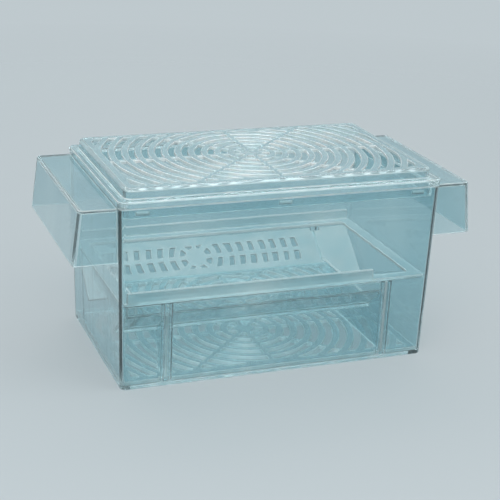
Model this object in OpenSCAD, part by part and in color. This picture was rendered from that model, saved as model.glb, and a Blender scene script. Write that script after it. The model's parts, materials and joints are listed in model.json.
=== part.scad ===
// Floating fish breeding box: a clear tapered tank carried by two hollow side floats,
// a slotted floor, a slotted lid, and a lift-out insert. The insert holds the adult fish
// over a slotted tray, and fry drop through the slots to the chamber below.
// Millimetres. Origin at the centre of the underside, +X along the width, +Z up,
// and the front face towards -Y.

/* [Tank] */
// Outside width of the tank at its rim
tank_w = 158; // [130:1:200]
// Outside depth of the tank at its rim
tank_d = 96; // [88:1:130]
// Height of the tank from its underside to its rim
tank_h = 88; // [76:1:120]
// Thickness of the moulded tank wall
tank_wall = 1.8; // [1.4:0.1:2.6]
// How far each wall leans in between the rim and the underside
tank_draft = 1.6; // [0.4:0.1:3]
// Radius of the tank's upright outside corners
tank_corner_r = 2.8; // [2.7:0.1:4]
// Width of the ledge that carries the floor grid
ledge_w = 3.5; // [2.5:0.1:6]
// Thickness of the ledge
ledge_t = 1.6; // [1.2:0.1:2.4]
// Thickness of one guide rib
rib_t = 1.2; // [0.8:0.1:2]
// How far a guide rib stands into the tank
rib_depth = 1.6; // [1:0.1:3]

/* [Floats] */
// Width of a float's top plate
float_w = 17.4; // [12:0.2:26]
// Height of a float's outer skirt
float_h = 25.9; // [16:0.1:40]
// How far the outer skirt flares out at its lower edge
float_flare = 3.1; // [0:0.1:6]
// Thickness of a float's walls
float_t = 1.6; // [1.2:0.1:2.4]
// How far a float's end walls stand back from the tank's front and back
float_inset = 2.8; // [2.7:0.1:8]
// Radius of a float's two outer corners
float_corner_r = 2.6; // [2.5:0.1:4]

/* [Lid] */
// How far the lid's flange stands out past the rim
lid_overhang = 0.5; // [0:0.1:1.5]
// Height of the lid's flange
lid_flange_h = 3.4; // [2:0.1:5]
// Height of the raised panel above the flange
lid_rise = 4.8; // [3:0.1:8]
// How far the raised panel is set in from the flange's edge
lid_inset = 3.9; // [3.6:0.1:8]
// Thickness of the lid's panel and walls
lid_t = 1.6; // [1.2:0.1:2.4]
// Radius of the raised panel's top edge
lid_edge_r = 1.4; // [0.6:0.1:1.5]
// Depth of the locating skirt below the rim
skirt_h = 5.5; // [3:0.1:8]
// Thickness of the locating skirt
skirt_t = 1.4; // [1:0.1:2]
// Length of a snap nub on the skirt
nub_l = 6; // [3:0.5:10]
// Radius of a snap nub
nub_r = 0.7; // [0.4:0.1:0.9]
// How far the outer nubs stand in from the skirt's ends
nub_inset = 8.3; // [6:0.1:40]
// Radius of the raised panel's upright corners
panel_r = 4; // [3.6:0.1:6]
// Radius of the skirt's upright corners
skirt_r = 2; // [1:0.1:3]

/* [Insert frame] */
// Height of the insert's ring above the underside
ring_z = 42.4; // [38:0.1:56]
// Thickness of the ring
ring_t = 1.6; // [1.2:0.1:2.4]
// Width of the ring's flange
ring_flange = 6.3; // [5:0.1:9]
// How far the front and back rails stand above the ring
rail_rise = 5.1; // [2:0.1:9]
// Thickness of a rail
rail_t = 1.6; // [1.2:0.1:2.4]
// Gap between the front rail's end and the end plate
rail_end_gap = 7.5; // [4:0.1:40]
// Radius of the corners of the ring's opening
ring_inner_r = 2; // [1:0.1:4]

/* [Lip and ramp] */
// Drop from the ring's top to the start of the front lip's slope
lip_start_drop = 6; // [4:0.1:8]
// Drop from the ring's top to the tray's top
tray_drop = 17.4; // [14:0.1:22]
// How far the front lip reaches in from the ring's front edge
lip_run = 15.7; // [12:0.1:20]
// Thickness of the lip and the ramp
slope_t = 1.6; // [1.2:0.1:2.2]
// Slope of the back ramp below level
ramp_angle = 41; // [36:1:48]
// Length of the back ramp down its slope
ramp_len = 32; // [28:0.5:34]
// Drop from the ring's top to the ramp's top edge
ramp_start_drop = 3; // [2.5:0.1:5]
// Width of the plain strip between the ramp's slots and the end plate
ramp_plain_w = 9.5; // [6:0.1:30]
// Where the ramp's slot pattern is centred across the width
ramp_centre_x = -15; // [-30:1:20]
// Where the ramp's slot pattern is centred down the slope
ramp_centre_v = 13; // [8:0.5:16]

/* [Tray] */
// Thickness of the tray grid
tray_t = 1.6; // [1.2:0.1:2.2]
// Width of the ledges that carry the tray
tray_ledge_w = 3; // [2:0.1:4]
// Thickness of the ledges that carry the tray
tray_ledge_t = 1.4; // [1:0.1:2]

/* [Plates] */
// Width of the well between the end plate and the ring's right end
well_w = 20.4; // [16:0.1:26]
// Thickness of the upright plates
plate_t = 1.8; // [1.2:0.1:2.4]
// Width of each leg of the support plate
leg_w = 12; // [8:0.5:20]
// Height of the support plate's archway above the floor grid
arch_h = 11; // [6:0.5:13]
// Radius of the archway's upper corners
arch_r = 4; // [1:0.5:6]
// Radius of the cove that joins the end plate to the ring
cove_r = 1.6; // [0.8:0.1:2.4]
// How far the end plate stands above the lip and the tray
end_rise = 1; // [0.6:0.1:2]

/* [Floor grid] */
// Thickness of the floor grid
floor_t = 1.8; // [1.2:0.1:2.6]
// Pitch of the floor's slot rings
floor_pitch = 7.2; // [6:0.1:9]

/* [Slots] */
// Pitch of the lid's slot rings
lid_pitch = 6.4; // [5:0.1:8]
// Pitch of the ramp's slot rings
ramp_pitch = 6.2; // [5:0.1:8]
// Pitch of the tray's slot rings
tray_pitch = 6.6; // [5:0.1:8]
// Share of the pitch that is open slot
slot_share = 0.46; // [0.3:0.01:0.55]
// Width of the spokes between the slots
spoke_w = 2.6; // [1.6:0.1:4]
// Radius of the solid hub in the middle of a pattern
hub_r = 5.6; // [4:0.1:8]
// Number of spokes in a pattern
spoke_count = 8; // [6:1:12]
// Plain border round a slotted panel
panel_border = 5; // [3.5:0.1:8]

/* [Fits] */
// Clearance between the tank and what lifts out of it
lift_gap = 0.4; // [0.3:0.05:0.8]
// Clearance between the lid's skirt and the tank
skirt_gap = 0.9; // [0.8:0.05:1.2]
// Gap where one piece rests on another
seat_gap = 0.1; // [0.05:0.05:0.2]

/* [Hidden] */
$fn = 48;
eps = 0.01;
over = 1;

// Half sizes of the tank's outside and inside at a height above the underside
function lean(z) = tank_draft * (tank_h - z) / tank_h;
function out_x(z) = tank_w / 2 - lean(z);
function out_y(z) = tank_d / 2 - lean(z);
function in_x(z) = out_x(z) - tank_wall;
function in_y(z) = out_y(z) - tank_wall;

// Levels, from the underside upwards
floor_z0 = ledge_t + seat_gap;
floor_z1 = floor_z0 + floor_t;
plate_z0 = floor_z1 + seat_gap;
ring_z0 = ring_z - ring_t;
rib_z1 = ring_z0 - seat_gap;
tray_z1 = ring_z - tray_drop;
tray_z0 = tray_z1 - tray_t;
tray_ledge_z1 = tray_z0 - seat_gap;
tray_ledge_z0 = tray_ledge_z1 - tray_ledge_t;
lid_z0 = tank_h + seat_gap;
lid_flange_z1 = lid_z0 + lid_flange_h;
lid_z1 = lid_flange_z1 + lid_rise;

// The insert's ring, sized to the tank at the ring's lower face
ring_hx = in_x(ring_z0) - lift_gap;
ring_hy = in_y(ring_z0) - lift_gap;
ring_ix = ring_hx - ring_flange;
ring_iy = ring_hy - ring_flange;
ring_corner_r = tank_corner_r - tank_wall + lift_gap;
plate_x = ring_hx - well_w;

// The plates' edges and the ribs that guide them
plate_y0 = in_y(plate_z0) - lift_gap;
rib_face_y = in_y(ledge_t) - rib_depth;
rib_pitch = plate_t + 2 * lift_gap + rib_t;
notch_w = rib_pitch + rib_t + 2 * lift_gap;
notch_y = rib_face_y - lift_gap;
notch_depth = in_y(tank_h) - notch_y;

// The front lip in the Y-Z plane
lip_y0 = -ring_hy;
lip_y1 = lip_y0 + slope_t;
lip_y2 = lip_y0 + lip_run;
lip_z1 = ring_z - lip_start_drop;
lip_slope = (lip_z1 - tray_z1) / (lip_y2 - lip_y1);
lip_drop_t = slope_t * sqrt(1 + lip_slope * lip_slope);
function lip_z(y) = lip_z1 - (y - lip_y1) * lip_slope;

// The back ramp's upper face in the Y-Z plane
ramp_z1 = ring_z - ramp_start_drop;
ramp_drop_t = slope_t / cos(ramp_angle);
function ramp_z(y) = ramp_z1 - (ring_hy - y) * tan(ramp_angle);
function ramp_y(z) = ring_hy - (ramp_z1 - z) / tan(ramp_angle);
ramp_y0 = ring_hy - ramp_len * cos(ramp_angle);
ramp_v0 = slope_t * tan(ramp_angle);
ramp_ledge_v = (ramp_z1 - tray_ledge_z1) / sin(ramp_angle);

// The tray grid between the lip and the ramp
tray_x0 = -ring_ix + slope_t + lift_gap;
tray_x1 = plate_x - plate_t / 2 - lift_gap;
ramp_slot_end_x = plate_x - ramp_plain_w;
tray_y0 = lip_y2 + lift_gap;
tray_y1 = ramp_y(tray_z0) - lift_gap;
slope_end_x = plate_x - plate_t / 2 - seat_gap;

// A rectangle with round corners, centred on the origin
module round_rect(half_x, half_y, r) {
    offset_x = half_x - r;
    offset_y = half_y - r;
    union() {
        square([2 * offset_x, 2 * half_y], center = true);
        square([2 * half_x, 2 * offset_y], center = true);
        for (sx = [-1, 1], sy = [-1, 1])
            translate([sx * offset_x, sy * offset_y]) circle(r);
    }
}

// A slab of the tank's outline at one height, for the tapered hulls
module tank_slab(z, inset, r) {
    translate([0, 0, z])
        linear_extrude(eps) round_rect(out_x(z) - inset, out_y(z) - inset, r, $fn = 32);
}

// Rings of open slots round a hub, broken by radial spokes
module slot_rings(pitch, reach) {
    slot_w = pitch * slot_share;
    count = floor((reach - hub_r) / pitch) + 1;
    difference() {
        for (i = [0:count - 1])
            difference() {
                circle(hub_r + i * pitch + slot_w, $fn = 96);
                circle(hub_r + i * pitch, $fn = 96);
            }
        for (i = [0:spoke_count - 1])
            rotate(i * 360 / spoke_count)
                translate([0, -spoke_w / 2]) square([reach + pitch, spoke_w]);
    }
}

// A flat panel between two corners, slotted inside its border
module slotted_panel(low, high, centre, pitch, end_x) {
    border = [panel_border, panel_border];
    reach = max(norm(low - centre), norm(high - centre));
    difference() {
        translate(low) square(high - low);
        intersection() {
            translate(low + border) square([end_x - low[0] - panel_border, high[1] - low[1] - 2 * panel_border]);
            translate(centre) slot_rings(pitch, reach);
        }
    }
}

// Carries an outline in the Y-Z plane from one X to another
module along_x(x0, x1) {
    translate([x0, 0, 0]) rotate([90, 0, 90]) linear_extrude(x1 - x0) children();
}

// The cuts that let the floor grid, the lip and the ramp pass the guide ribs
module rib_notches() {
    for (sx = [-1, 1], sy = [-1, 1])
        translate([sx * plate_x - notch_w / 2, sy > 0 ? notch_y : -notch_y - notch_depth])
            square([notch_w, notch_depth]);
}

module guide_ribs() {
    rib_z0 = ledge_t - eps;
    rib_root = tank_wall / 2;
    for (sx = [-1, 1], side = [-1, 1], sy = [-1, 1])
        translate([sx * plate_x + side * rib_pitch / 2, 0, rib_z0])
            translate([-rib_t / 2, sy > 0 ? rib_face_y : -in_y(0) - rib_root, 0])
                cube([rib_t, in_y(0) + rib_root - rib_face_y, rib_z1 - rib_z0]);
}

module tank_body() {
    color("lightcyan", 0.4)
    union() {
        difference() {
            hull() {
                tank_slab(0, 0, tank_corner_r);
                tank_slab(tank_h - eps, 0, tank_corner_r);
            }
            hull() {
                tank_slab(ledge_t, tank_wall, tank_corner_r - tank_wall);
                tank_slab(tank_h + over, tank_wall, tank_corner_r - tank_wall);
            }
            translate([0, 0, -over]) linear_extrude(ledge_t + 2 * over)
                square([2 * (in_x(0) - ledge_w), 2 * (in_y(0) - ledge_w)], center = true);
        }
        guide_ribs();
    }
}

// A slab of a float at one height, from the tank's side out to the skirt, with two round corners
module float_slab(z, x0, inset, r) {
    x1 = out_x(tank_h) + float_w + float_flare * (tank_h - z) / float_h - inset;
    half_y = out_y(tank_h) - float_inset - inset;
    translate([0, 0, z]) linear_extrude(eps) union() {
        translate([x0, -half_y]) square([x1 - r - x0, 2 * half_y]);
        translate([x0, r - half_y]) square([x1 - x0, 2 * (half_y - r)]);
        for (sy = [-1, 1])
            translate([x1 - r, sy * (half_y - r)]) circle(r, $fn = 32);
    }
}

// A hollow float on the right-hand side: top plate, flared skirt and two end walls
module float_shell() {
    skirt_z0 = tank_h - float_h;
    skirt_z1 = tank_h - eps;
    difference() {
        hull() {
            float_slab(skirt_z0, out_x(skirt_z0) + seat_gap, 0, float_corner_r);
            float_slab(skirt_z1, out_x(skirt_z1) + seat_gap, 0, float_corner_r);
        }
        hull() {
            float_slab(skirt_z0 - over, out_x(skirt_z0) - over, float_t, float_corner_r - float_t);
            float_slab(tank_h - float_t, out_x(skirt_z0) - over, float_t, float_corner_r - float_t);
        }
    }
}

module float_right() {
    color("lightcyan", 0.4) float_shell();
}

module float_left() {
    color("lightcyan", 0.4) mirror([1, 0, 0]) float_shell();
}

module floor_grid() {
    half_x = in_x(floor_z0) - lift_gap;
    half_y = in_y(floor_z0) - lift_gap;
    color("aliceblue", 0.5)
    translate([0, 0, floor_z0]) linear_extrude(floor_t)
        difference() {
            slotted_panel([-half_x, -half_y], [half_x, half_y], [0, 0], floor_pitch, half_x - panel_border);
            rib_notches();
        }
}

// The raised panel's block, with its top edge rounded
module panel_block(half_x, half_y, corner_r, edge_r, z0, z1) {
    inner_x = half_x - corner_r;
    inner_y = half_y - corner_r;
    edge_z = z1 - edge_r;
    translate([0, 0, z0]) linear_extrude(edge_z - z0) round_rect(half_x, half_y, corner_r);
    translate([0, 0, edge_z - eps]) linear_extrude(z1 - edge_z + eps)
        round_rect(half_x - edge_r, half_y - edge_r, corner_r - edge_r);
    for (sx = [-1, 1], sy = [-1, 1])
        translate([sx * inner_x, sy * inner_y, edge_z])
            rotate_extrude() {
                square([corner_r - edge_r, edge_r]);
                translate([corner_r - edge_r, 0]) intersection() {
                    circle(edge_r);
                    square(edge_r);
                }
            }
    for (sy = [-1, 1])
        translate([-inner_x, sy * (half_y - edge_r), edge_z]) rotate([0, 90, 0])
            cylinder(r = edge_r, h = 2 * inner_x);
    for (sx = [-1, 1])
        translate([sx * (half_x - edge_r), inner_y, edge_z]) rotate([90, 0, 0])
            cylinder(r = edge_r, h = 2 * inner_y);
}

module lid() {
    flange_x = out_x(tank_h) + lid_overhang;
    flange_y = out_y(tank_h) + lid_overhang;
    panel_x = flange_x - lid_inset;
    panel_y = flange_y - lid_inset;
    skirt_x = in_x(tank_h) - skirt_gap;
    skirt_y = in_y(tank_h) - skirt_gap;
    slot_x = panel_x - panel_border;
    slot_y = panel_y - panel_border;
    nub_x = skirt_x - nub_inset;
    nub_z = tank_h - skirt_h / 2;
    color("aliceblue", 0.5)
    union() {
        difference() {
            union() {
                translate([0, 0, lid_z0]) linear_extrude(lid_flange_h)
                    round_rect(flange_x, flange_y, tank_corner_r + lid_overhang);
                panel_block(panel_x, panel_y, panel_r, lid_edge_r, lid_flange_z1 - eps, lid_z1);
                translate([0, 0, lid_z0 - skirt_h]) linear_extrude(skirt_h + eps)
                    round_rect(skirt_x, skirt_y, skirt_r);
            }
            translate([0, 0, lid_z0 - skirt_h - over]) linear_extrude(skirt_h + lid_flange_h - lid_t + over)
                round_rect(skirt_x - skirt_t, skirt_y - skirt_t, skirt_r);
            translate([0, 0, lid_z0 - skirt_h - over]) linear_extrude(lid_z1 - lid_t - lid_z0 + skirt_h + over)
                round_rect(panel_x - lid_t, panel_y - lid_t, panel_r - lid_t);
            translate([0, 0, lid_z1 - lid_t - over]) linear_extrude(lid_t + 2 * over)
                intersection() {
                    square([2 * slot_x, 2 * slot_y], center = true);
                    slot_rings(lid_pitch, norm([slot_x, slot_y]));
                }
        }
        for (x = [-nub_x, 0, nub_x], sy = [-1, 1])
            translate([x - nub_l / 2, sy * skirt_y, nub_z]) rotate([0, 90, 0]) cylinder(r = nub_r, h = nub_l);
    }
}

// The ring, its two rails, and the wall that closes the basin's left end
module tray_frame() {
    wall_x0 = -ring_ix;
    rail_x0 = -ring_hx + ring_corner_r;
    rail_h = rail_rise + ring_t;
    color("aliceblue", 0.5)
    union() {
        translate([0, 0, ring_z0]) linear_extrude(ring_t)
            difference() {
                round_rect(ring_hx, ring_hy, ring_corner_r);
                round_rect(ring_ix, ring_iy, ring_inner_r);
            }
        translate([rail_x0, -ring_hy, ring_z0]) cube([plate_x - rail_end_gap - rail_x0, rail_t, rail_h]);
        translate([rail_x0, ring_hy - rail_t, ring_z0]) cube([-2 * rail_x0, rail_t, rail_h]);
        along_x(wall_x0, wall_x0 + slope_t)
            polygon([
                [-ring_iy, ring_z0 + eps],
                [-ring_iy, lip_z(-ring_iy) + seat_gap],
                [lip_y2, tray_z1 + seat_gap],
                [ramp_y(tray_z1) - seat_gap, tray_z1 + seat_gap],
                [ring_iy, ramp_z(ring_iy) + seat_gap],
                [ring_iy, ring_z0 + eps]
            ]);
    }
}

module front_lip() {
    ledge_y = lip_y2 + tray_ledge_w;
    top_z = ring_z0 - seat_gap;
    color("azure", 0.5)
    difference() {
        along_x(-ring_hx + ring_corner_r, slope_end_x) polygon([
            [lip_y0, top_z],
            [lip_y1, top_z],
            [lip_y1, lip_z1],
            [lip_y2, tray_z1],
            [lip_y2, tray_ledge_z1],
            [ledge_y, tray_ledge_z1],
            [ledge_y, tray_ledge_z0],
            [lip_y2 - slope_t, tray_ledge_z0],
            [lip_y2 - slope_t, lip_z(lip_y2 - slope_t) - lip_drop_t],
            [lip_y0, lip_z(lip_y0) - lip_drop_t]
        ]);
        linear_extrude(ring_z) rib_notches();
    }
}

module back_ramp() {
    left_x = -ring_hx + ring_corner_r;
    right_x = ring_hx - ring_corner_r;
    ledge_y = ramp_y(tray_ledge_z1) - tray_ledge_w;
    color("azure", 0.5)
    union() {
        difference() {
            translate([0, ring_hy, ramp_z1]) rotate([ramp_angle + 180, 0, 0]) linear_extrude(slope_t)
                union() {
                    slotted_panel([left_x, ramp_v0], [right_x, ramp_ledge_v], [ramp_centre_x, ramp_centre_v],
                        ramp_pitch, ramp_slot_end_x);
                    translate([left_x, ramp_ledge_v - eps]) square([right_x - left_x, ramp_len - ramp_ledge_v + eps]);
                }
            linear_extrude(ring_z) rib_notches();
        }
        along_x(tray_x0, slope_end_x)
            polygon([
                [ledge_y, tray_ledge_z1],
                [ramp_y(tray_ledge_z1) + eps, tray_ledge_z1],
                [ramp_y(tray_ledge_z0) + eps, tray_ledge_z0],
                [ledge_y, tray_ledge_z0]
            ]);
    }
}

module tray_grid() {
    color("aliceblue", 0.5)
    translate([0, 0, tray_z0]) linear_extrude(tray_t)
        slotted_panel([tray_x0, tray_y0], [tray_x1, tray_y1],
            [(tray_x0 + tray_x1) / 2, (tray_y0 + tray_y1) / 2], tray_pitch, tray_x1 - panel_border);
}

// The left plate: two legs and a head shaped to the basin's underside
module support_plate() {
    under = seat_gap;
    lip_under_y = lip_y2 - slope_t - under;
    arch_y = plate_y0 - leg_w;
    color("aliceblue", 0.5)
    along_x(-plate_x - plate_t / 2, -plate_x + plate_t / 2)
        difference() {
            polygon([
                [-plate_y0, plate_z0],
                [-plate_y0, lip_z(-plate_y0) - lip_drop_t - under],
                [lip_under_y, lip_z(lip_under_y) - lip_drop_t - under],
                [lip_under_y, tray_ledge_z0 - under],
                [ramp_y0 - under, tray_ledge_z0 - under],
                [ramp_y0 - under, ramp_z(ramp_y0) - ramp_drop_t - under],
                [plate_y0, ramp_z(plate_y0) - ramp_drop_t - under],
                [plate_y0, plate_z0]
            ]);
            translate([0, plate_z0]) round_rect(arch_y, arch_h, arch_r);
        }
}

// The right plate: closes the fry chamber's end. Its front leg reaches the ring, with a cove,
// and its head follows the lip, the tray and the ramp's underside
module end_plate() {
    slot_y0 = ramp_y0 - seat_gap;
    top_y = ring_hy - seat_gap;
    top_z = ring_z0 - seat_gap;
    head_z = tray_z1 + end_rise;
    cove_y = rib_face_y - lift_gap;
    face_x = plate_x + plate_t / 2;
    color("aliceblue", 0.5)
    union() {
        along_x(plate_x - plate_t / 2, face_x)
            difference() {
                polygon([
                    [-plate_y0, plate_z0],
                    [-top_y, top_z],
                    [-ring_iy, top_z],
                    [-ring_iy, lip_z(-ring_iy) + end_rise],
                    [lip_y2, head_z],
                    [ramp_y(head_z), head_z],
                    [top_y, ramp_z(top_y)],
                    [plate_y0, plate_z0]
                ]);
                polygon([
                    [slot_y0, ramp_z(slot_y0) + seat_gap],
                    [ring_hy + over, ramp_z(ring_hy + over) + seat_gap],
                    [ring_hy + over, ramp_z(ring_hy + over) - ramp_drop_t - seat_gap],
                    [slot_y0, ramp_z(slot_y0) - ramp_drop_t - seat_gap]
                ]);
            }
        translate([0, -ring_iy, 0]) rotate([90, 0, 0]) linear_extrude(cove_y - ring_iy)
            difference() {
                translate([face_x - eps, top_z - cove_r]) square([cove_r + eps, cove_r]);
                translate([face_x + cove_r, top_z - cove_r]) circle(cove_r);
            }
    }
}

tank_body();
float_left();
float_right();
floor_grid();
lid();
tray_frame();
front_lip();
back_ramp();
tray_grid();
support_plate();
end_plate();
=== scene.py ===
# %% [markdown]
# # A clear floating fish breeding box
#
# The box is a set of thin clear mouldings: a tapered tank with two hollow floats, a slotted floor,
# a slotted lid, and a lift-out insert whose sloped sides guide new-born fry to a slotted tray.
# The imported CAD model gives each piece's shape and place. This lesson turns those exact
# solids into mouldings of clear polystyrene: rounded edges, weld beads, gate marks and a finish.
# Everything is in metres, in the CAD model's own frame.

# %% Load the frame
import json
import math
from types import SimpleNamespace

import bmesh
import bpy
import numpy as np
from mathutils import Matrix, Vector


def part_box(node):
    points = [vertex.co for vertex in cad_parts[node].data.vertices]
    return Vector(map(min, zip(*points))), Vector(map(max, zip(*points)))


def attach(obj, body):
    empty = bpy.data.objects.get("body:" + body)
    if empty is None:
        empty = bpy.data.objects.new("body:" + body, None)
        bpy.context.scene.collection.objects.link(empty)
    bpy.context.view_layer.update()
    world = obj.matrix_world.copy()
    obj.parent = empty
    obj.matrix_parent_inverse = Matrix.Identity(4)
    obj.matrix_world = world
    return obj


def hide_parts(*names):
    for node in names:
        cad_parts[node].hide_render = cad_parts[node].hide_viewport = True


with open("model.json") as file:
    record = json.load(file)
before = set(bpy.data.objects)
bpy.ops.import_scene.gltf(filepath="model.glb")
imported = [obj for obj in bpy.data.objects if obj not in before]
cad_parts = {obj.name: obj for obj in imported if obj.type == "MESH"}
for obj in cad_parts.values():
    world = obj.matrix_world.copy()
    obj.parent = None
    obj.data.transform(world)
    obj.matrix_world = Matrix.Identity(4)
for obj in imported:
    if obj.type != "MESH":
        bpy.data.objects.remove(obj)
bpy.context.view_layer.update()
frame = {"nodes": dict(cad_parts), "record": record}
MM = 0.001


def in_mm(values, digits=1):
    """Metres as rounded millimetres, for printing."""
    return np.round(np.array(values) / MM, digits).tolist()


# %% [markdown]
# ## Weld each solid
#
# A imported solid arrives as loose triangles, each with its own three corners. Edge work needs to
# know which triangles are neighbours, so a copy is welded first. The weld also closes the hair-thin
# steps that a modelled overlap leaves. A remesh would join the corners too, but it would lose the
# flat walls.

# %% Weld a copy of a solid
WELD_REACH = 0.03 * MM
SLIVER = WELD_REACH / 10


def welded(node):
    """Corner points and triangles of a copy of a CAD node. Points that nearly touch become one."""
    mesh = frame["nodes"][node].data.copy()
    work = bmesh.new()
    work.from_mesh(mesh)
    bmesh.ops.remove_doubles(work, verts=work.verts, dist=WELD_REACH)
    bmesh.ops.dissolve_degenerate(work, edges=work.edges, dist=SLIVER)
    bmesh.ops.triangulate(work, faces=work.faces)
    work.to_mesh(mesh)
    work.free()
    points = np.empty(3 * len(mesh.vertices))
    mesh.vertices.foreach_get("co", points)
    corners = np.empty(3 * len(mesh.polygons), dtype=np.int64)
    mesh.polygons.foreach_get("vertices", corners)
    bpy.data.meshes.remove(mesh)
    return points.reshape(-1, 3), corners.reshape(-1, 3)


lid_points, lid_triangles = welded("lid")
print("lid:", len(lid_points), "points,", len(lid_triangles), "triangles")

# %% [markdown]
# ## Round every edge
#
# No moulded edge is sharp: the tool's corners leave a radius of a few tenths of a millimetre, and
# in clear plastic that radius is what the eye sees, as a bright or dark line. A Bevel modifier
# could cut it, but on a slotted panel the edges that join one slot to the next fold over each
# other. Here the rounding is worked out directly. The surface is parted into skins, which meet
# along sharp edges. Each skin is drawn back from its border by the radius, and a strip is laid in
# each gap.

# %% Vectors and edges of a triangle mesh
TINY = 1e-18


def face_vectors(points, triangles):
    """Twice each triangle's area, along its outward normal: the cross product of two sides."""
    a, b, c = (points[triangles[:, k]] for k in range(3))
    return np.cross(b - a, c - a)


def unit(vectors):
    """Each vector divided by its own length."""
    return vectors / np.maximum(np.linalg.norm(vectors, axis=1), TINY)[:, None]


def edge_pairs(triangles, point_count):
    """The two sides of every edge. Side 3t+k runs from corner k of triangle t to the next corner.
    Both sides of an edge share a key, made of its lower and higher point, so sorting pairs them."""
    start = triangles.ravel()
    stop = np.roll(triangles, -1, axis=1).ravel()
    key = np.minimum(start, stop) * point_count + np.maximum(start, stop)
    order = np.argsort(key, kind="stable")
    one, other = order[0::2], order[1::2]
    if not (key[one] == key[other]).all():
        raise ValueError("the mesh isn't closed")
    return start, stop, one, other


def following(side):
    """The next side of the same triangle."""
    return side - side % 3 + (side + 1) % 3


lid_one, lid_other = edge_pairs(lid_triangles, len(lid_points))[2:]
print("lid:", len(lid_one), "edges")

# %% Part the surface into skins
SHARP_DEGREES = 35


def joined_labels(face_count, near, far):
    """A number for each triangle that is the same wherever pairs of near and far link them. Every
    triangle starts with its own number, and each pair takes the lower until nothing changes."""
    label = np.arange(face_count)
    while True:
        low = np.minimum(label[near], label[far])
        fresh = label.copy()
        for at in (near, far, label[near], label[far]):
            np.minimum.at(fresh, at, low)
        fresh = fresh[fresh]
        if (fresh == label).all():
            return label
        label = fresh


def skins(normal, one, other):
    """Each triangle's skin, and which edges part two skins. Triangles are in one skin where a way
    leads between them across no sharp edge, and an edge is sharp where its two normals differ by
    more than the set angle: where their dot product is less than its cosine."""
    near, far = one // 3, other // 3
    cosine = (normal[near] * normal[far]).sum(1)
    sharp = cosine < math.cos(math.radians(SHARP_DEGREES))
    label = joined_labels(len(normal), near[~sharp], far[~sharp])
    return label, sharp & (label[near] != label[far])


lid_label, lid_sharp = skins(unit(face_vectors(lid_points, lid_triangles)), lid_one, lid_other)
print("lid:", len(np.unique(lid_label)), "skins,", lid_sharp.sum(), "sharp edges")

# %% Draw each skin back from its border
LONGEST_STEP = 2
RANK_CUT = 0.02
FOLD_TRIES = 40
LEAST_AREA = 0.09
LEAST_COSINE = 0.9
CUT_BACK = 0.7


def border_steps(copies, at, inward, radius):
    """How far each border point moves: the shortest step whose part along every inward direction
    that meets there is the radius. Least squares gives it, as the pseudo-inverse of the sum of
    the directions' outer products, times the sum of the directions times the radius. A step that
    would be longer than the set number of radii is cut to it."""
    outer = np.zeros((copies, 3, 3))
    pull = np.zeros((copies, 3))
    for corner in at:
        np.add.at(outer, corner, inward[:, :, None] * inward[:, None, :])
        np.add.at(pull, corner, inward * radius)
    inverse = np.linalg.pinv(outer, rcond=RANK_CUT, hermitian=True)
    step = np.einsum("nij,nj->ni", inverse, pull)
    length = np.linalg.norm(step, axis=1)
    return step * np.minimum(1, LONGEST_STEP * radius / np.maximum(length, TINY))[:, None]


def unfolded(rest, step, triangles):
    """Points moved by their steps. A step is cut back wherever a triangle would keep too little of
    its area or turn too far, which the dot product of its old and new face vectors shows."""
    share = np.ones(len(rest))
    before = face_vectors(rest, triangles)
    size = np.linalg.norm(before, axis=1)
    for _ in range(FOLD_TRIES):
        moved = rest + step * share[:, None]
        now = face_vectors(moved, triangles)
        agreement = (now * before).sum(1)
        folded = agreement < LEAST_AREA * size**2
        folded |= agreement < LEAST_COSINE * np.linalg.norm(now, axis=1) * size
        if not folded.any():
            break
        share[np.unique(triangles[folded])] *= CUT_BACK
    return moved


corner_step = border_steps(1, ([0, 0],), np.eye(3)[:2], 0.3 * MM)
print("a square corner, drawn back by 0.3 mm, moves by", in_mm(corner_step[0]), "mm")

# %% Lay strips and corner fans in the gaps
def corner_fans(strips, origin, point_count):
    """Triangles that close the small hole where three or more strips meet. Each open strip end is
    joined to the lowest of the copies of its point."""
    ends = np.concatenate([strips[:, [1, 2]], strips[:, [3, 0]]])
    ends = ends[ends[:, 0] != ends[:, 1]]
    copies = len(origin)
    forward = ends[:, 0] * copies + ends[:, 1]
    backward = ends[:, 1] * copies + ends[:, 0]
    open_ends = ends[~np.isin(forward, backward)]
    root = np.full(point_count, copies)
    np.minimum.at(root, origin[open_ends[:, 0]], open_ends.min(axis=1))
    hub = root[origin[open_ends[:, 0]]]
    fans = np.stack([open_ends[:, 1], open_ends[:, 0], hub], axis=1)
    return fans[(fans[:, 0] != hub) & (fans[:, 1] != hub)]


def rounded(points, triangles, radius):
    """A solid's surface with its sharp edges rounded: its points and their normals, the skins'
    triangles and the mean width of each one's skin, the strips' four-sided faces and the corner
    fans. A skin's mean width is twice its area over the length of its border."""
    start, stop, one, other = edge_pairs(triangles, len(points))
    owner = np.arange(len(start)) // 3
    weighted = face_vectors(points, triangles)
    normal = unit(weighted)
    label, sharp = skins(normal, one, other)
    pair, place = np.unique(start * len(triangles) + label[owner], return_inverse=True)
    origin = pair // len(triangles)
    skin = place.reshape(-1, 3)
    side = np.concatenate([one[sharp], other[sharp]])
    along = points[stop[side]] - points[start[side]]
    inward = np.cross(normal[owner[side]], unit(along))
    step = border_steps(len(pair), (place[side], place[following(side)]), inward, radius)
    strips = np.stack([place[following(one[sharp])], place[one[sharp]],
                       place[following(other[sharp])], place[other[sharp]]], axis=1)
    smooth = np.zeros((len(pair), 3))
    np.add.at(smooth, skin.ravel(), np.repeat(weighted, 3, axis=0))
    area = np.bincount(label, np.linalg.norm(weighted, axis=1) / 2, len(triangles))
    border = np.bincount(label[owner[side]], np.linalg.norm(along, axis=1), len(triangles))
    return SimpleNamespace(
        points=unfolded(points[origin], step, skin), normals=unit(smooth), skin=skin,
        width=2 * area[label] / np.maximum(border[label], TINY), strips=strips,
        fans=corner_fans(strips, origin, len(points)))


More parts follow.
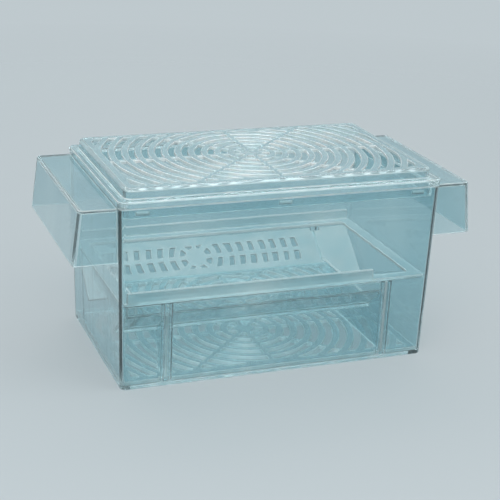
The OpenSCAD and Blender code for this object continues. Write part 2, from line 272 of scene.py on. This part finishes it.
soft = rounded(lid_points, lid_triangles, 0.3 * MM)
print("lid:", len(soft.skin), "triangles,", len(soft.strips), "strips,", len(soft.fans), "fans")
print("skin widths in mm:", np.unique(in_mm(soft.width)))

# %% [markdown]
# ## Make the eleven mouldings
#
# The broad skins keep the polished finish of the tool's faces. The strips take a second finish,
# with a white haze that is a painted highlight along each edge, and so do the narrow skins, which
# are the rims of the walls and the sides of the slots. The tank's guide ribs are narrow too, but
# they are as clear as its walls. The normals are the skins' own, so walls stay optically flat right
# up to the rounding, and the light turns smoothly across it.

# %% Build one moulding
RIM_WIDTH = 2.1 * MM
RIB_MARGIN = 4 * MM
RIB_SPREAD = 0.8


def new_object(name, data):
    """An object at the origin that holds a mesh, a lamp or a camera."""
    thing = bpy.data.objects.new(name, data)
    bpy.context.scene.collection.objects.link(thing)
    return thing


def on_guide_rib(centre):
    """Which of the tank's narrow faces belong to its guide ribs: those well above its foot, well
    below its rim and away from its corners."""
    low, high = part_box("tank_body")
    upright = (centre[:, 2] > low.z + RIB_MARGIN) & (centre[:, 2] < high.z - RIB_MARGIN)
    return upright & (np.abs(centre[:, 0]) < RIB_SPREAD * high.x)


def moulding(node, radius):
    """A CAD node's solid as a moulded piece: slot 0 is its walls, slot 1 its edges and rims. A
    strip that is pinched to a point at one end becomes a triangle."""
    soft = rounded(*welded(node), radius)
    strips = soft.strips
    pinched = (strips[:, 0] == strips[:, 3]) | (strips[:, 1] == strips[:, 2])
    thin = strips[pinched]
    thin = np.where((thin[:, 1] == thin[:, 2])[:, None], thin[:, [0, 1, 3]], thin[:, [0, 1, 2]])
    faces = [rows.tolist() for rows in (soft.skin, strips[~pinched], thin, soft.fans)]
    faces = [face for rows in faces for face in rows]
    mesh = bpy.data.meshes.new(node + "_moulding")
    mesh.from_pydata(soft.points.tolist(), [], faces)
    mesh.polygons.foreach_set("use_smooth", np.ones(len(faces), dtype=bool))
    # Slot 1, the edges and narrow skins, later wears a white haze that is a painted highlight.
    is_edge = np.ones(len(faces), dtype=np.int32)
    is_edge[:len(soft.skin)] = soft.width < RIM_WIDTH
    if node == "tank_body":
        centre = np.array([soft.points[face].mean(axis=0) for face in faces])
        is_edge[on_guide_rib(centre)] = 0
    mesh.polygons.foreach_set("material_index", is_edge)
    mesh.normals_split_custom_set_from_vertices(soft.normals.tolist())
    mesh.update()
    return new_object(node + "_moulding", mesh)


# %% Build them all
EDGE_RADIUS_MM = {
    "tank_body": 0.45, "float_left": 0.45, "float_right": 0.45, "lid": 0.35, "floor_grid": 0.3,
    "tray_grid": 0.3, "back_ramp": 0.3, "tray_frame": 0.4, "front_lip": 0.3, "support_plate": 0.4,
    "end_plate": 0.4,
}
bodies = frame["record"]["behaviour"]["bodies"]
mouldings = {}
for node, radius in EDGE_RADIUS_MM.items():
    piece = moulding(node, radius * MM)
    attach(piece, next(body for body, nodes in bodies.items() if node in nodes))
    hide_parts(node)
    mouldings[node] = piece
print("faces:", {node: len(piece.data.polygons) for node, piece in mouldings.items()})

# %% [markdown]
# ## Surfaces of our own
#
# Weld beads and gate marks are too small for the CAD model, but traces of making like these tell
# a moulded box from a drawing of one. Both are surfaces of two parameters. A bead is a profile
# carried along a path, and a gate mark is a profile turned about an axis. Each is worked out as
# one array of points.

# %% Put a grid of points into a mesh
TRIM_SHARP_DEGREES = 40
trims = []


def closed_surface(name, rows):
    """A closed skin through rows of points, an array of rows by columns by 3. The columns join up
    into a loop, neighbouring rows are joined by four-sided faces, and one face closes each end."""
    count, around = rows.shape[:2]
    index = np.arange(count * around).reshape(count, around)
    turned = np.roll(index, -1, axis=1)
    faces = np.stack([index[:-1], turned[:-1], turned[1:], index[1:]], axis=-1).reshape(-1, 4)
    mesh = bpy.data.meshes.new(name)
    ends = [index[0, ::-1].tolist(), index[-1].tolist()]
    mesh.from_pydata(rows.reshape(-1, 3).tolist(), [], [*faces.tolist(), *ends])
    work = bmesh.new()
    work.from_mesh(mesh)
    bmesh.ops.recalc_face_normals(work, faces=work.faces)
    work.to_mesh(mesh)
    work.free()
    return mesh


def add_trim(name, body, meshes):
    """Joins meshes into one piece of trim that moves with a body."""
    work = bmesh.new()
    for part in meshes:
        work.from_mesh(part)
        bpy.data.meshes.remove(part)
    mesh = bpy.data.meshes.new(name)
    work.to_mesh(mesh)
    work.free()
    mesh.polygons.foreach_set("use_smooth", np.ones(len(mesh.polygons), dtype=bool))
    piece = new_object(name, mesh)
    mesh.set_sharp_from_angle(angle=math.radians(TRIM_SHARP_DEGREES))
    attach(piece, body)
    trims.append(piece)
    print(name, len(mesh.vertices), "points, the first at", in_mm(mesh.vertices[0].co))


# %% [markdown]
# ## Weld beads
#
# Floats and slopes like these can be moulded in one with the wall they stand on, or apart and then
# welded to it. The beads here are our own guess, for the second way: melted plastic along each
# inside corner, with two short legs on the walls and a hollow curve between them. The seams are
# measured from the solids themselves, so the beads follow the frame.

# %% Measure the seams
LEVEL_REACH = 0.3 * MM
LEAN = 0.3


def half_widths(node):
    """The heights of a tapered node's foot and rim, and its outer half widths there."""
    points = welded(node)[0]
    heights = points[:, 2].min(), points[:, 2].max()
    levels = (np.abs(points[:, 2] - height) < LEVEL_REACH for height in heights)
    return heights, [np.abs(points[level, 0]).max() for level in levels]


def slope_ends(node, towards):
    """The top and the foot of a node's sloped upper face, as Y and Z. Its triangles are the ones
    whose normals lean upwards and towards the given side."""
    points, triangles = welded(node)
    normal = unit(face_vectors(points, triangles))
    leaning = (normal[:, 2] > LEAN) & (normal[:, 1] * towards > LEAN)
    used = points[np.unique(triangles[leaning])]
    return used[used[:, 2].argmax(), 1:], used[used[:, 2].argmin(), 1:]


tank_heights, tank_widths = half_widths("tank_body")
slopes = {"lip": slope_ends("front_lip", 1), "ramp": slope_ends("back_ramp", -1)}
tray_low, tray_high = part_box("tray_grid")
print("tank half width, mm:", in_mm(tank_widths, 2))
print("slopes, mm:", {name: in_mm(ends) for name, ends in slopes.items()})

# %% Carry a bead's profile along a seam
BEAD_LEG = 0.8 * MM
BEAD_CLEARANCE = 0.03 * MM
BEAD_ROW = 1.5 * MM
BEAD_CURVE = np.linspace(0, math.pi / 2, 7)
BEAD_SWELLS = ((0.08, 2.2 * MM), (0.05, 0.9 * MM))


def bead(start, stop, leg_a, leg_b):
    """A bead in the corner between two walls. Its section is the corner point, the end of one leg,
    and a quarter circle that bulges towards the corner and ends on the other leg. A row of the grid
    is the section at one place on the seam, and two sines along the seam vary its size."""
    start, stop, leg_a, leg_b = (np.array(v, dtype=float) for v in (start, stop, leg_a, leg_b))
    leg_a, leg_b = leg_a / np.linalg.norm(leg_a), leg_b / np.linalg.norm(leg_b)
    length = np.linalg.norm(stop - start)
    along = np.linspace(0, 1, max(4, round(length / BEAD_ROW)))
    swell = 1 + sum(share * np.sin(along * length / wave) for share, wave in BEAD_SWELLS)
    across = np.concatenate([[0], 1 - np.sin(BEAD_CURVE)])
    upward = np.concatenate([[0], 1 - np.cos(BEAD_CURVE)])
    section = BEAD_LEG * (across[:, None] * leg_a + upward[:, None] * leg_b)
    seam = start + along[:, None] * (stop - start) + BEAD_CLEARANCE * (leg_a + leg_b)
    return closed_surface("bead", seam[:, None, :] + swell[:, None, None] * section)


# %% Place the beads
FLOAT_WALL = 1.6 * MM
TRAY_GAP = 0.4 * MM
SLOPE_SHARE = 0.94


def float_beads(side):
    """Beads round the inside of one float, where its top and end walls meet the tank. The tank's
    half width at a height lies on the straight line from its foot to its rim."""
    low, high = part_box("float_right")
    foot, top, depth = low.z, high.z - FLOAT_WALL, high.y - FLOAT_WALL
    root = [side * np.interp(z, tank_heights, tank_widths) for z in (foot, top)]
    feet = [(root[0], y, foot) for y in (-depth, depth)]
    tops = [(root[1], y, top) for y in (-depth, depth)]
    outward = (side, 0, 0)
    return [bead(feet[0], tops[0], outward, (0, 1, 0)), bead(feet[1], tops[1], outward, (0, -1, 0)),
            bead(tops[0], tops[1], outward, (0, 0, -1))]


def slope_beads(x, towards):
    """Beads along the lip and the ramp, against a wall at x, on the side that towards names. Each
    stops short of both ends of its slope."""
    beads = []
    for top, foot in slopes.values():
        run = foot - top
        upright = (0, abs(run[1]) * np.sign(run[0]), abs(run[0]))
        first, last = top + (1 - SLOPE_SHARE) * run, top + SLOPE_SHARE * run
        beads.append(bead((x, *first), (x, *last), (towards, 0, 0), upright))
    return beads


add_trim("float_left_bead", "tank", float_beads(-1))
add_trim("float_right_bead", "tank", float_beads(1))
insert_beads = slope_beads(tray_high.x + TRAY_GAP, -1) + slope_beads(tray_low.x - TRAY_GAP, 1)
add_trim("insert_bead", "insert", insert_beads)

# %% [markdown]
# ## Gate marks
#
# Where molten plastic enters a panel, the cut-off gate leaves a little stub in a shallow ring. The
# hub is a likely place for it, on the side that isn't seen first, so the marks here are a guess
# too. The stub is a profile of radius and height, turned about an upright axis under the hub.

# %% Turn a gate mark
GATE_PROFILE = MM * np.array([[0.01, 0.02], [2.5, 0.02], [2.5, 0.12], [2.2, 0.3], [1.9, 0.12],
                              [0.9, 0.12], [0.75, 0.42], [0.5, 0.5], [0.01, 0.5]])
GATE_TURNS = 40
LID_PANEL = 1.6 * MM


def gate_mark(x, y, z):
    """A stub under a panel whose underside is at z. A row of the grid is one point of the profile,
    turned: x plus radius times cosine, y plus radius times sine, and z less the height."""
    angle = np.linspace(0, 2 * math.pi, GATE_TURNS, endpoint=False)
    radius, height = GATE_PROFILE[:, :1], GATE_PROFILE[:, 1:]
    rows = np.stack([x + radius * np.cos(angle), y + radius * np.sin(angle),
                     z - height + 0 * angle], axis=-1)
    return [closed_surface("gate", rows)]


tray_hub = tuple((a + b) / 2 for a, b in zip(tray_low, tray_high))
add_trim("lid_gate", "lid", gate_mark(0, 0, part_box("lid")[1].z - LID_PANEL))
add_trim("floor_gate", "floor", gate_mark(0, 0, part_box("floor_grid")[0].z))
add_trim("tray_gate", "tray", gate_mark(*tray_hub[:2], tray_low.z))

# %% [markdown]
# ## Write shader maths as Python
#
# A finish is a small formula, such as a roughness that rises where a scuff is. Nodes make such a
# formula hard to read, so a class wraps an output socket and gives it the usual operators. One
# method makes a node, its settings first and then its inputs, and another ends the tree with a
# shader. The same two build the plastics, the floor and the world.

# %% Signals
class Signal:
    """An output socket. Arithmetic on signals and numbers adds Math nodes to their tree."""

    def __init__(self, nodes, socket):
        self.nodes = nodes
        self.socket = socket

    def maths(self, operation, other):
        """A Math node on this signal and another signal or number."""
        return self.nodes.add("Math", {"operation": operation}, {0: self, 1: other})

    def __add__(self, other):
        return self.maths("ADD", other)

    def __mul__(self, other):
        return self.maths("MULTIPLY", other)

    __radd__ = __add__
    __rmul__ = __mul__

    def step(self, low, high):
        """0 below low, 1 above high and a straight line between."""
        ends = {"Value": self, "From Min": low, "From Max": high}
        return self.nodes.add("MapRange", {"clamp": True}, ends)


# %% Node trees and finishes
class Nodes:
    """The node tree of a material or a world, built from expressions."""

    def __init__(self, owner):
        owner.use_nodes = True
        self.tree = owner.node_tree
        self.tree.nodes.clear()

    def add(self, kind, settings=None, inputs=None, out=0):
        """A node: its settings first, then the values or links of its sockets. Gives output out."""
        node = self.tree.nodes.new("ShaderNode" + kind)
        for name, value in (settings or {}).items():
            setattr(node, name, value)
        for name, value in (inputs or {}).items():
            if isinstance(value, Signal):
                self.tree.links.new(value.socket, node.inputs[name])
            else:
                node.inputs[name].default_value = value
        return Signal(self, node.outputs[out])

    def end(self, kind, shader):
        """Ends the tree with a shader, in the output node of a material or a world."""
        last = self.tree.nodes.new("ShaderNodeOutput" + kind)
        self.tree.links.new(shader.socket, last.inputs["Surface"])


class Finish(Nodes):
    """A material, with the patterns that finishes are made of."""

    def __init__(self, name):
        self.material = bpy.data.materials.new(name)
        super().__init__(self.material)

    def blend(self, factor, one, other):
        """One colour where factor is 0 and the other where it is 1."""
        return self.add("Mix", {"data_type": "RGBA"}, {"Factor": factor, 6: one, 7: other}, out=2)

    def place(self, turn=(0, 0, 0), scale=(1, 1, 1), centre=(0, 0, 0)):
        """Object coordinates about a centre, scaled and then turned."""
        at = self.add("TexCoord", out="Object")
        moved = self.add("VectorMath", {"operation": "SUBTRACT"}, {0: at, 1: centre})
        return self.add("Mapping", {}, {"Vector": moved, "Rotation": turn, "Scale": scale})

    def distance(self, at):
        """The length of a vector signal."""
        return self.add("VectorMath", {"operation": "LENGTH"}, {0: at}, out=1)

    def noise(self, where, scale, detail=2.0, roughness=0.5):
        """Soft noise between 0 and 1. A feature is about one over scale wide."""
        inputs = {"Vector": where, "Scale": scale, "Detail": detail, "Roughness": roughness}
        return self.add("TexNoise", {"normalize": True}, inputs)

    def bump(self, height, strength, relief):
        """The normal of a surface that is raised by relief, in metres, times the height."""
        return self.add("Bump", {}, {"Strength": strength, "Distance": relief, "Height": height})


trial = Finish("trial")
height = 0.5 + 2 * trial.noise(trial.place(), 10)
print("0.5 + 2 * noise:", len(trial.tree.nodes), "nodes, the last", height.socket.node.operation)
bpy.data.materials.remove(trial.material)

# %% [markdown]
# ## Clear polystyrene
#
# The plastic is water-clear with a breath of blue-green that shows where several walls lie behind
# each other. A thin transparent shell could fake it, but only a refracting solid gives the
# bright and dark edges of the real thing. Rays to the lamps pass through tinted but unbent, so that
# the inside is lit and the shadow on the floor stays pale. A share of the light scatters as haze:
# a little in most walls, more in the slotted panels and most at the edges. The white haze at the
# edges, on the ramp and on the tray frame is a painted highlight, which makes the edges look white.

# %% The clear body of a finish
WATER_WHITE = (0.69, 0.85, 0.88, 1)
SHELL_BLUE = (0.61, 0.795, 0.835, 1)
# The two near-white tints below whiten hazy plastic: on the edges, the ramp and the tray frame that
# white haze is a painted highlight.
EDGE_WHITE = (0.95, 0.985, 0.985, 1)
HIGHLIGHT_WHITE = (0.99, 0.995, 0.995, 1)
SHADOW_TINT = (0.94, 0.97, 0.975, 1)
REFRACTIVE_INDEX = 1.5


def clear_shader(finish, tint, roughness, bump, body):
    """A refracting plastic. body is the share of light that passes: the rest scatters as haze."""
    plastic = finish.add("BsdfPrincipled", {}, {
        "Base Color": tint, "Roughness": roughness, "IOR": REFRACTIVE_INDEX,
        "Transmission Weight": body, "Normal": bump})
    shade = finish.add("BsdfTransparent", {}, {"Color": SHADOW_TINT})
    to_lamp = finish.add("LightPath", out="Is Shadow Ray")
    finish.end("Material", finish.add("MixShader", {}, {0: to_lamp, 1: plastic, 2: shade}))
    return finish.material


# %% [markdown]
# ## Walls: draw lines and handling marks
#
# A tank wall isn't perfectly flat. The plastic flowed up from the foot and left long faint
# waves, and handling leaves fine scuffs. The waves are noise stretched along Z, which only bends
# the surface normal by about a hundredth. The scuffs are two layers of noise stretched along X and
# cut to its peaks, which raise the roughness. Real waves in the mesh would cost many faces and
# show less.

# %% Wall finish
WAVES_ACROSS = 70
WAVES_ALONG = 6
SCUFF_STRETCH = (90, 1500, 1500)
SCUFF_LAYERS = ((0.5, 3.0), (-0.9, 11.0))
SCUFF_PEAKS = (0.64, 0.80)
SCUFF_DULLNESS = 0.10
WALL_POLISH = 0.02
POLISH_SCALE = 160
DRIFT_SCALE = 24
DRIFT_BAND = (0.3, 0.7)


def flow_waves(finish):
    """Long soft waves along Z: noise whose features are about 14 mm wide and 170 mm tall."""
    where = finish.place(scale=(WAVES_ACROSS, WAVES_ACROSS, WAVES_ALONG))
    return finish.noise(where, 1, detail=2.5, roughness=0.45)


def scuffs(finish):
    """Fine scratches along X: noise stretched along that axis and cut to its peaks. Each layer is
    turned after the stretch, and has a centre of its own, so that the two differ."""
    layers = []
    for turn, centre in SCUFF_LAYERS:
        where = finish.place(turn=(turn,) * 3, scale=SCUFF_STRETCH, centre=(centre,) * 3)
        layers.append(finish.noise(where, 1, detail=1.0).step(*SCUFF_PEAKS))
    return layers[0] + layers[1]


def wall_finish(name, tint, deep, body, relief):
    """Walls and slopes: waves in the surface, scuffs in the shine, a slow drift in the tint."""
    finish = Finish(name)
    drift = finish.noise(finish.place(), DRIFT_SCALE, detail=1.0)
    polish = finish.noise(finish.place(), POLISH_SCALE) * WALL_POLISH
    roughness = WALL_POLISH + polish + scuffs(finish) * SCUFF_DULLNESS
    bump = finish.bump(flow_waves(finish), 0.5, relief)
    colour = finish.blend(drift.step(*DRIFT_BAND), tint, deep)
    return clear_shader(finish, colour, roughness, bump, body)


WALLS = {
    "tank_wall": (WATER_WHITE, SHELL_BLUE, 0.97, 0.35 * MM),
    "float_wall": (WATER_WHITE, SHELL_BLUE, 0.93, 0.15 * MM),
    "insert_wall": (WATER_WHITE, SHELL_BLUE, 0.95, 0.3 * MM),
    # The tray frame's white haze, about a third of its light, is a painted highlight.
    "frame_wall": (EDGE_WHITE, WATER_WHITE, 0.65, 0.3 * MM),
    "lip_wall": (EDGE_WHITE, WATER_WHITE, 0.85, 0.3 * MM),
}
materials = {name: wall_finish(name, *look) for name, look in WALLS.items()}
print("nodes in a wall:", len(materials["tank_wall"].node_tree.nodes))

# %% [markdown]
# ## Slotted panels: flow lines from the gate
#
# In a slotted panel the plastic runs out from the gate at the hub and splits round every slot. It
# leaves faint rays, with a haze where two fronts met. Noise on X and Y would look like clouds, so
# the noise is sampled on the angle round the hub and the distance from it, and its features
# become rays.

# %% Panel finish
RAYS_PER_RADIAN = 7
RINGS_PER_METRE = 45
RAY_BAND = (0.35, 0.75)
FRONT_BAND = (0.45, 0.8)
FRONT_HAZE = 0.08
PANEL_POLISH = 0.04
PANEL_RELIEF = 0.2 * MM
MIDDLE_HUB = (0, 0, 0)
RAMP_HUB = (-15 * MM, 35 * MM, 31 * MM)


def radial_flow(finish, centre):
    """Flow lines that run out from a gate: noise sampled on the angle round it, which is the
    arctangent of y over x, and on the distance from it."""
    at = finish.place(centre=centre)
    x, y = (finish.add("SeparateXYZ", {}, {0: at}, out=axis) for axis in (0, 1))
    angle = y.maths("ARCTAN2", x) * RAYS_PER_RADIAN
    ring = finish.distance(at) * RINGS_PER_METRE
    polar = finish.add("CombineXYZ", {}, {0: angle, 1: ring, 2: 0.0})
    return finish.noise(polar, 1, detail=3.0, roughness=0.55)


def panel_finish(name, tint, deep, body, centre):
    """Slotted panels: flow lines out from the gate, and more haze where the flow fronts met."""
    finish = Finish(name)
    flow = radial_flow(finish, centre)
    haze = flow.step(*FRONT_BAND) * FRONT_HAZE
    roughness = PANEL_POLISH + haze + scuffs(finish) * SCUFF_DULLNESS
    bump = finish.bump(flow, 0.6, PANEL_RELIEF)
    colour = finish.blend(flow.step(*RAY_BAND), tint, deep)
    return clear_shader(finish, colour, roughness, bump, body)


PANELS = {
    "lid_panel": (WATER_WHITE, SHELL_BLUE, 0.86, MIDDLE_HUB),
    "floor_panel": (WATER_WHITE, SHELL_BLUE, 0.86, MIDDLE_HUB),
    "tray_panel": (WATER_WHITE, SHELL_BLUE, 0.88, tray_hub),
    # The ramp's milky white, half its light scattered as white haze, is a painted highlight.
    "ramp_panel": (EDGE_WHITE, WATER_WHITE, 0.5, RAMP_HUB),
}
materials |= {name: panel_finish(name, *look) for name, look in PANELS.items()}
print("hubs in mm:", {name: in_mm(look[3]) for name, look in PANELS.items()})

# %% [markdown]
# ## Edges: a fine grain and a painted highlight
#
# The tool parts along an edge, so an edge isn't polished as a wall is, and a fine grain in its
# surface and shine shows that. The pale line that an edge reads as is its white haze, a painted
# highlight. White paint on the strips would look drawn on, but a hazy plastic with a fine bump
# stays part of the moulding, and turns dark or bright with what lies behind it.

# %% Edge finish
GRAIN_SCALE = 2200
GRAIN_DULLNESS = 0.10
GRAIN_RELIEF = 0.02 * MM
PATCH_SCALE = 120
PATCH_BAND = (0.35, 0.65)


def edge_finish(name, tint, deep, body, dullness):
    """Rounded edges: a fine grain in the surface and the shine, and patches in the tint."""
    finish = Finish(name)
    grain = finish.noise(finish.place(), GRAIN_SCALE)
    bump = finish.bump(grain, 0.3, GRAIN_RELIEF)
    patch = finish.noise(finish.place(), PATCH_SCALE).step(*PATCH_BAND)
    colour = finish.blend(patch, tint, deep)
    return clear_shader(finish, colour, dullness + grain * GRAIN_DULLNESS, bump, body)


# In the four edge finishes the white haze, from a near-white tint and a low share of passing light,
# is a painted highlight; the whitest edge passes none.
EDGES = {
    "tank_edge": (EDGE_WHITE, WATER_WHITE, 0.6, 0.12),
    "bright_edge": (EDGE_WHITE, WATER_WHITE, 0.45, 0.25),
    "lid_edge": (EDGE_WHITE, WATER_WHITE, 0.4, 0.25),
    "painted_highlight_edge": (HIGHLIGHT_WHITE, EDGE_WHITE, 0.0, 0.35),
    "weld_bead": (EDGE_WHITE, WATER_WHITE, 0.55, 0.15),
}
materials |= {name: edge_finish(name, *look) for name, look in EDGES.items()}
print("finishes:", sorted(materials))

# %% Put the finishes on
WEARS = {
    "tank_body": ("tank_wall", "tank_edge"), "float_left": ("float_wall", "tank_edge"),
    "float_right": ("float_wall", "tank_edge"), "lid": ("lid_panel", "lid_edge"),
    "floor_grid": ("floor_panel", "bright_edge"), "tray_grid": ("tray_panel", "bright_edge"),
    "tray_frame": ("frame_wall", "painted_highlight_edge"), "front_lip": ("lip_wall", "bright_edge"),
    "back_ramp": ("ramp_panel", "painted_highlight_edge"), "support_plate": ("insert_wall", "bright_edge"),
    "end_plate": ("insert_wall", "painted_highlight_edge"),
}


def dress(piece, names):
    """Puts finishes in a piece's slots and keeps which face uses which. Gives the count of faces
    that wear the second."""
    used = np.empty(len(piece.data.polygons), dtype=np.int32)
    piece.data.polygons.foreach_get("material_index", used)
    piece.data.materials.clear()
    for name in names:
        piece.data.materials.append(materials[name])
    piece.data.polygons.foreach_set("material_index", used)
    return int(used.sum())


edge_faces = {node: dress(piece, WEARS[node]) for node, piece in mouldings.items()}
for piece in trims:
    dress(piece, ["weld_bead"])
print("edge faces:", edge_faces)

# %% [markdown]
# ## The studio
#
# A plain pale floor fades into the backdrop well away from the box, as a paper sweep does. The
# world is an even grey light on everything, and where it is seen, mirrored or seen through the
# plastic it shows the colour of the backdrop.

# %% Floor
FLOOR_PALE = (0.57, 0.63, 0.655, 1)
FLOOR_FLECK = tuple(0.985 * part for part in FLOOR_PALE)
FLOOR_HALF = 4.0
FLOOR_Z = -0.1 * MM
FLOOR_FADE = (0.26, 0.9)
PAPER_SCALE = 900

floor_corners = [(x * FLOOR_HALF, y * FLOOR_HALF, FLOOR_Z)
                 for x, y in ((-1, -1), (1, -1), (1, 1), (-1, 1))]
floor_mesh = bpy.data.meshes.new("floor")
floor_mesh.from_pydata(floor_corners, [], [(0, 1, 2, 3)])
floor = new_object("floor", floor_mesh)
paper = Finish("floor_paper")
fibres = paper.noise(paper.place(), PAPER_SCALE, detail=3.0)
near = paper.add("BsdfPrincipled", {}, {
    "Base Color": paper.blend(fibres, FLOOR_PALE, FLOOR_FLECK), "Roughness": 0.85,
    "Specular IOR Level": 0.15})
away = paper.add("BsdfTransparent")
fade = paper.distance(paper.place()).step(*FLOOR_FADE)
paper.end("Material", paper.add("MixShader", {}, {0: fade, 1: near, 2: away}))
floor_mesh.materials.append(paper.material)
print("floor fades from", FLOOR_FADE[0], "to", FLOOR_FADE[1], "m")

# %% World
BACKDROP = (0.52, 0.585, 0.615, 1)
AMBIENT = (0.24, 0.26, 0.27, 1)

world = bpy.data.worlds.new("studio")
bpy.context.scene.world = world
sky = Nodes(world)
seen = sky.add("LightPath", out="Is Camera Ray")
for ray in ("Is Glossy Ray", "Is Transmission Ray"):
    seen = seen.maths("MAXIMUM", sky.add("LightPath", out=ray))
light = sky.add("Background", {}, {"Color": AMBIENT, "Strength": 1.0})
backdrop = sky.add("Background", {}, {"Color": BACKDROP, "Strength": 1.0})
sky.end("World", sky.add("MixShader", {}, {0: seen, 1: light, 2: backdrop}))
print("world nodes:", len(sky.tree.nodes))

# %% [markdown]
# ## Lamps
#
# Three large panels light the box: a key from the front left, a weak fill from the right and one
# behind that draws the rims. A small lamp would mirror in every flat skin as a burnt-out patch, so
# the panels are large, and the two strong ones hang high, where few views catch their image.

# %% Soft panels
LAMPS = {
    "key_panel": ((-0.42, -0.8, 1.0), (0.9, 0.9), 10.5),
    "fill_panel": ((0.8, -0.5, 0.5), (0.9, 0.9), 2.2),
    "back_panel": ((0.1, 0.85, 0.95), (1.4, 0.6), 6.5),
}
LAMP_AIM = Vector((0, 0, 0.04))


def facing(direction):
    """The turn that points an object's own -Z axis along a direction, with its Y axis up."""
    return direction.to_track_quat("-Z", "Y")


for name, (spot, size, watts) in LAMPS.items():
    panel = bpy.data.lights.new(name, "AREA")
    panel.shape = "RECTANGLE"
    panel.size, panel.size_y = size
    panel.energy = watts
    lamp = new_object(name, panel)
    lamp.location = spot
    lamp.rotation_euler = facing(LAMP_AIM - Vector(spot)).to_euler()
    lamp.visible_camera = False
    print(name, watts, "W,", round((LAMP_AIM - Vector(spot)).length, 2), "m away")

# %% [markdown]
# ## The camera
#
# The box is seen from its front left, a little from above, from about the length of an arm. A
# slight roll brings the front edge of the rim nearer to level.

# %% Camera
CAMERA_AZIMUTH = math.radians(-21.5)
CAMERA_HEIGHT = math.radians(20)
CAMERA_DISTANCE = 0.631
CAMERA_ROLL = math.radians(2.5)
CAMERA_AIM = Vector((0.0015, 0, 0.0455))
CAMERA_LENS = 90.7
CAMERA_SENSOR = 36

camera_data = bpy.data.cameras.new("camera")
camera_data.lens = CAMERA_LENS
camera_data.sensor_width = CAMERA_SENSOR
camera = new_object("camera", camera_data)
back = Vector((math.sin(CAMERA_AZIMUTH) * math.cos(CAMERA_HEIGHT),
               -math.cos(CAMERA_AZIMUTH) * math.cos(CAMERA_HEIGHT), math.sin(CAMERA_HEIGHT)))
camera.location = CAMERA_AIM + back * CAMERA_DISTANCE
look = facing(-back).to_matrix() @ Matrix.Rotation(CAMERA_ROLL, 3, "Z")
camera.rotation_euler = look.to_euler()
bpy.context.scene.camera = camera
print("camera at", in_mm(camera.location), "mm")

# %% [markdown]
# ## Light paths
#
# A straight ray through the box crosses a dozen or so clear surfaces at most, but one that is
# mirrored inside a wall meets many more. A ray that is cut short comes back black, so the limits on
# bounces are raised. The lamps' light already passes the plastic unbent, so refractive caustics,
# which would count it a second time, are off.

# %% Bounces
scene = bpy.context.scene
scene.view_settings.view_transform = "Standard"
scene.cycles.max_bounces = 32
scene.cycles.transmission_bounces = 32
scene.cycles.transparent_max_bounces = 64
scene.cycles.glossy_bounces = 8
scene.cycles.caustics_refractive = False
